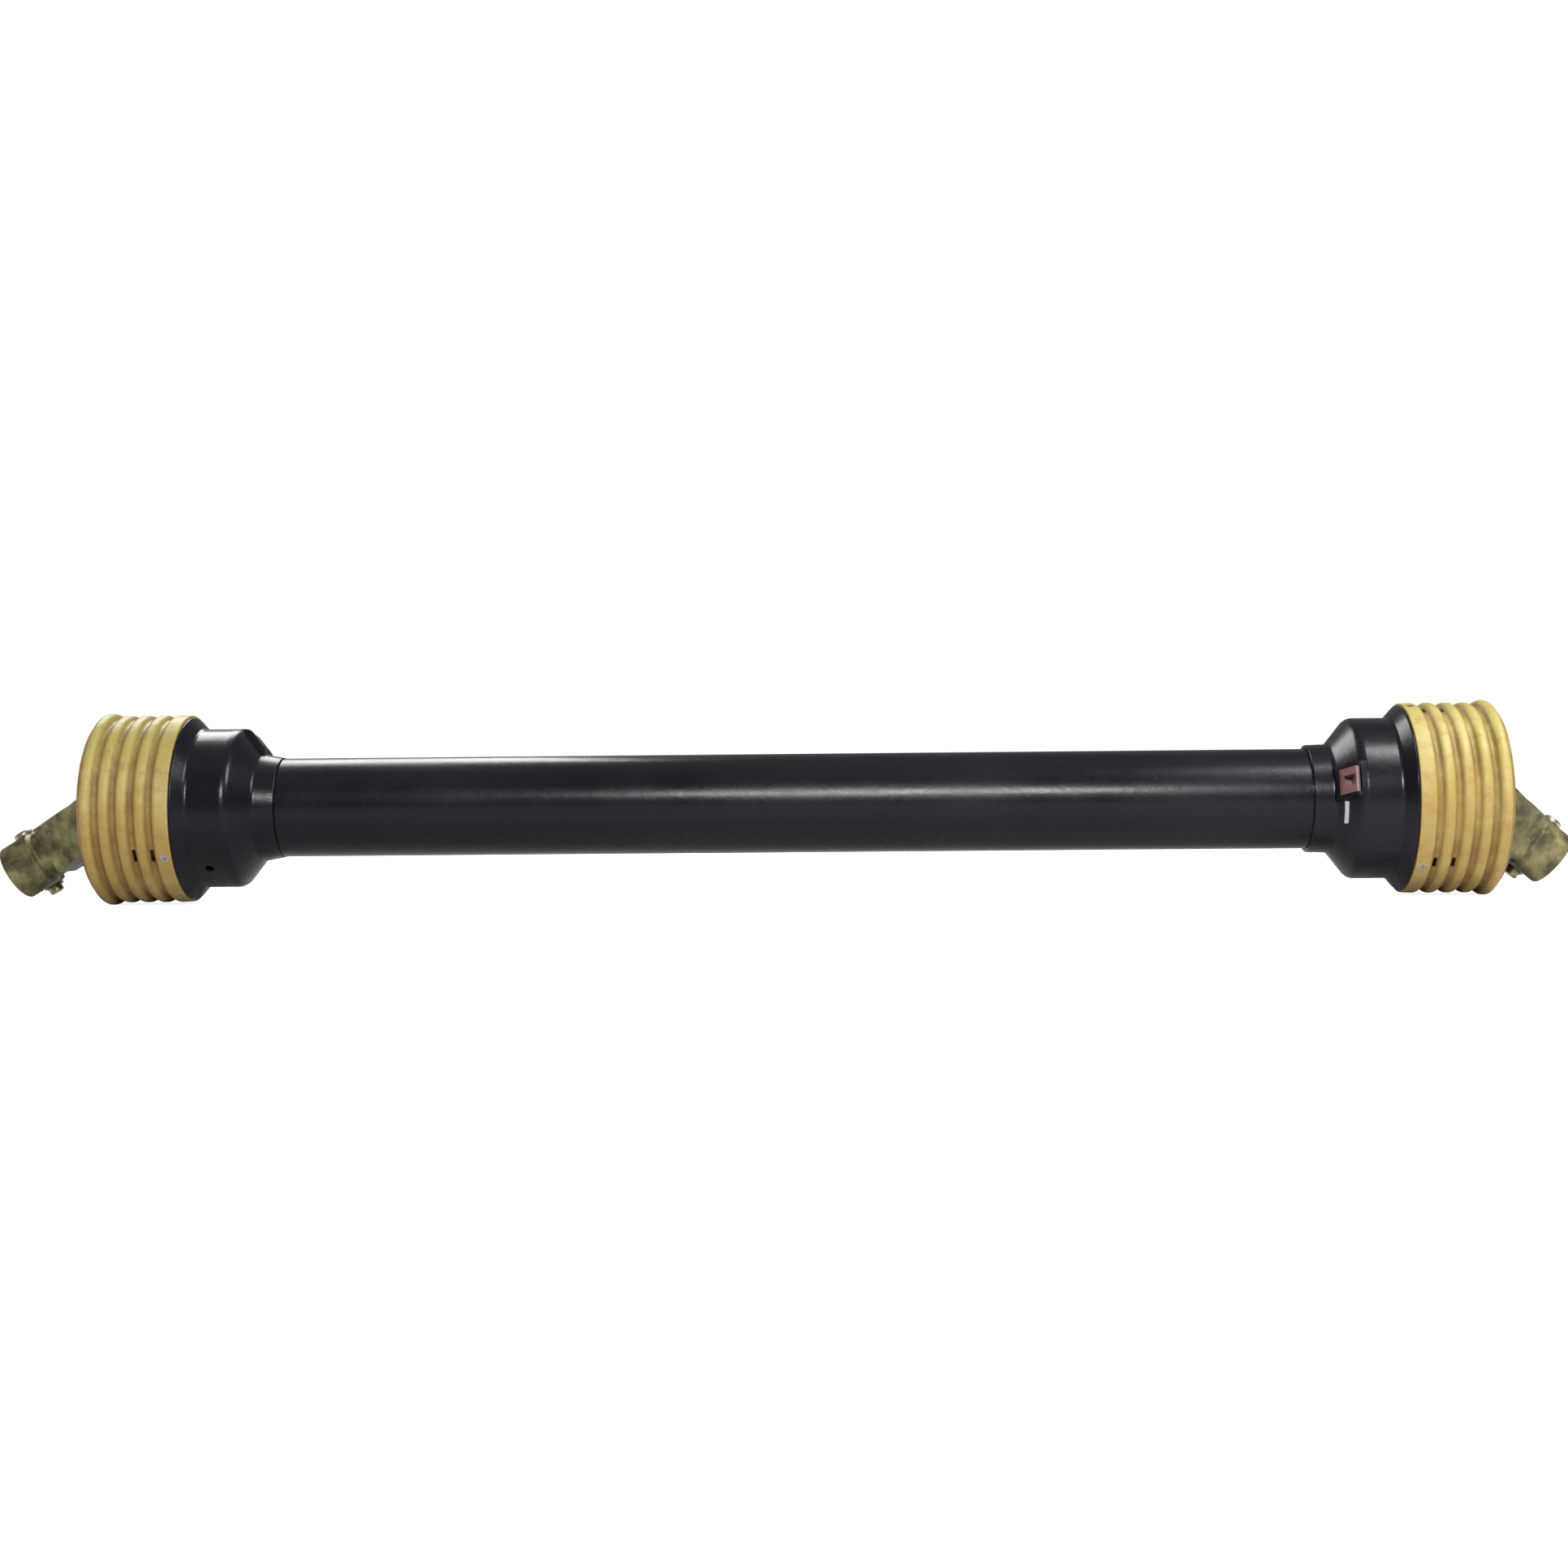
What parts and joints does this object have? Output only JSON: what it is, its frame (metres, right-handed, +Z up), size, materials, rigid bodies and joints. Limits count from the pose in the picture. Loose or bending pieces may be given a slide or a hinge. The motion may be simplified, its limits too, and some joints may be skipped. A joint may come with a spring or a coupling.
{
  "type": "universal joint shaft",
  "caption": "Telescoping power take-off shaft with a universal joint and quick-release splined yoke at each end, inside a black tubular guard with ribbed yellow cones.",
  "frame": {"origin": "on the shaft's axis, at the middle of the overall length with the shaft closed", "axes": "+X along the shaft towards the implement end, +Z up"},
  "size_m": [1.2864, 0.158, 0.158],
  "materials": {
    "guard_yellow": "satin, ribbed",
    "guard_black": "glossy",
    "bearing_nylon": "satin",
    "clip_red": "satin",
    "screw_steel": "zinc plated",
    "yoke_steel": "yellow-passivated zinc over a forging",
    "drive_tube_steel": "oiled drawn steel",
    "cross_steel": "ground",
    "cup_steel": "ground",
    "spring_steel": "oiled",
    "pin_steel": "zinc plated",
    "seal_rubber": "matte"
  },
  "bodies": {
    "outer_guard": {"outer_guard_tube": "guard_black", "implement_guard_bell": "guard_black", "implement_guard_cone": "guard_yellow", "implement_guard_bearing": "bearing_nylon", "implement_bearing_clip": "clip_red", "implement_cone_screws": "screw_steel"},
    "inner_guard": {"inner_guard_tube": "guard_black", "tractor_guard_bell": "guard_black", "tractor_guard_cone": "guard_yellow", "tractor_guard_bearing": "bearing_nylon", "tractor_bearing_clip": "clip_red", "tractor_cone_screws": "screw_steel"},
    "outer_shaft": {"outer_drive_tube": "drive_tube_steel", "implement_shaft_yoke": "yoke_steel", "implement_tube_roll_pin": "spring_steel", "implement_shaft_bearing_cups": "cup_steel", "implement_shaft_needle_sets": "cup_steel", "implement_shaft_circlips": "spring_steel"},
    "inner_shaft": {"inner_drive_tube": "drive_tube_steel", "tractor_shaft_yoke": "yoke_steel", "tractor_tube_roll_pin": "spring_steel", "tractor_shaft_bearing_cups": "cup_steel", "tractor_shaft_needle_sets": "cup_steel", "tractor_shaft_circlips": "spring_steel"},
    "tractor_spider": {"tractor_cross": "cross_steel", "tractor_cross_seals": "seal_rubber", "tractor_grease_nipple": "pin_steel"},
    "tractor_fork": {"tractor_end_yoke": "yoke_steel", "tractor_end_bearing_cups": "cup_steel", "tractor_end_needle_sets": "cup_steel", "tractor_end_circlips": "spring_steel", "tractor_lock_spring": "spring_steel"},
    "tractor_lock": {"tractor_lock_pin": "pin_steel", "tractor_lock_clip": "spring_steel"},
    "implement_spider": {"implement_cross": "cross_steel", "implement_cross_seals": "seal_rubber", "implement_grease_nipple": "pin_steel"},
    "implement_fork": {"implement_end_yoke": "yoke_steel", "implement_end_bearing_cups": "cup_steel", "implement_end_needle_sets": "cup_steel", "implement_end_circlips": "spring_steel", "implement_lock_spring": "spring_steel"},
    "implement_lock": {"implement_lock_pin": "pin_steel", "implement_lock_clip": "spring_steel"}
  },
  "joints": [
    {"name": "shaft_spin", "type": "hinge", "parent": "outer_guard", "child": "outer_shaft", "pos_m": [0, 0, 0], "axis": [1, 0, 0], "continuous": true},
    {"name": "telescope", "type": "slide", "parent": "outer_shaft", "child": "inner_shaft", "axis": [-1, 0, 0], "range_m": [0, 0.35]},
    {"name": "guard_telescope", "type": "slide", "parent": "outer_guard", "child": "inner_guard", "axis": [-1, 0, 0], "range_m": [0, 0.35]},
    {"name": "implement_cross_swing", "type": "hinge", "parent": "outer_shaft", "child": "implement_spider", "pos_m": [0.566, 0, 0], "axis": [0, 0, 1], "range_deg": [-30, 20]},
    {"name": "implement_yoke_droop", "type": "hinge", "parent": "implement_spider", "child": "implement_fork", "pos_m": [0.566, 0, 0], "axis": [0, -1, 0], "range_deg": [-1, 70]},
    {"name": "tractor_cross_swing", "type": "hinge", "parent": "inner_shaft", "child": "tractor_spider", "pos_m": [-0.544, 0, 0], "axis": [0, 0, 1], "range_deg": [-30, 30]},
    {"name": "tractor_yoke_droop", "type": "hinge", "parent": "tractor_spider", "child": "tractor_fork", "pos_m": [-0.544, 0, 0], "axis": [0, 1, 0], "range_deg": [-3.5, 62]},
    {"name": "tractor_lock_push", "type": "slide", "parent": "tractor_fork", "child": "tractor_lock", "axis": [0.515, 0, -0.8572], "range_m": [0, 0.0105], "stiffness_N_per_m": 2500, "springref_m": -0.008, "deforming": ["tractor_lock_spring"]},
    {"name": "implement_lock_push", "type": "slide", "parent": "implement_fork", "child": "implement_lock", "axis": [-0.6361, 0, -0.7716], "range_m": [0, 0.0105], "stiffness_N_per_m": 2500, "springref_m": -0.008, "deforming": ["implement_lock_spring"]}
  ],
  "couplings": [
    {"joint": "guard_telescope", "follows": "telescope", "ratio": 1}
  ]
}
